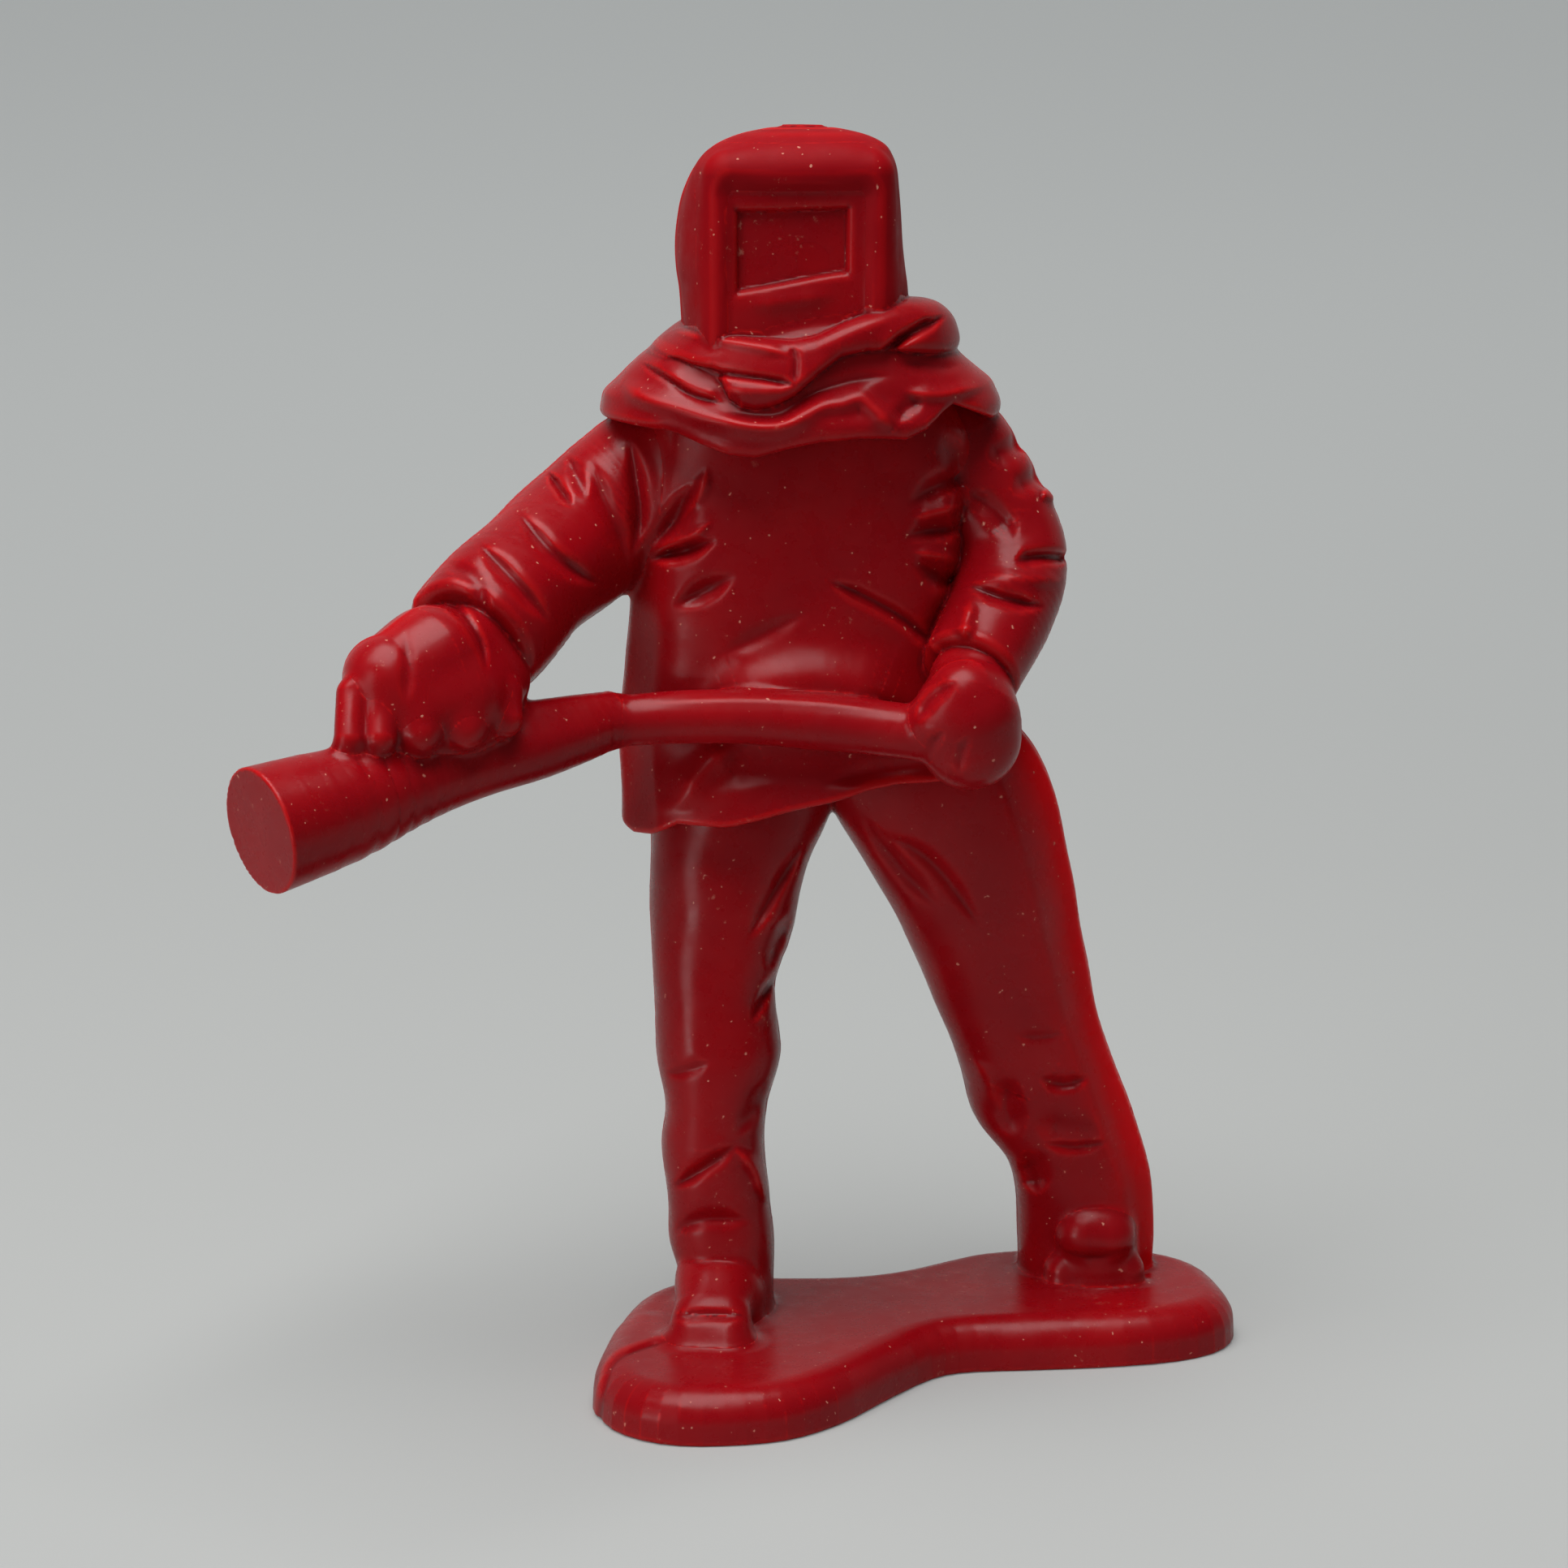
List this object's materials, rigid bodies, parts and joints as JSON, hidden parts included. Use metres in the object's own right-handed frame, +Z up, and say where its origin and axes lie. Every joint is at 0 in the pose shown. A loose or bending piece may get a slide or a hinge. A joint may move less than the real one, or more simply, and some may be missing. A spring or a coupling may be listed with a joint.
{
  "type": "toy figure",
  "caption": "Moulded plastic toy figure of a hooded, visored firefighter in a shoulder cape holding a hose and flared nozzle, standing on a two-lobed base.",
  "frame": {"origin": "middle of the base plate's underside", "axes": "+Z up from the base to the hood, -Y the way the figure faces, +X towards the figure's left"},
  "size_m": [0.0474, 0.0288, 0.0602],
  "materials": {
    "red_plastic": "solid red moulded soft plastic, satin to glossy, unpainted"
  },
  "bodies": {
    "root": {"base_plate": "red_plastic", "right_boot": "red_plastic", "left_boot": "red_plastic", "right_trouser_leg": "red_plastic", "left_trouser_leg": "red_plastic", "jacket": "red_plastic", "right_sleeve": "red_plastic", "left_sleeve": "red_plastic", "right_glove": "red_plastic", "right_glove_fingers": "red_plastic", "left_glove": "red_plastic", "nozzle": "red_plastic", "hose": "red_plastic", "hood": "red_plastic", "visor_rim": "red_plastic", "visor_panel": "red_plastic", "visor_window": "red_plastic", "neck_roll": "red_plastic", "cape": "red_plastic"}
  },
  "joints": []
}
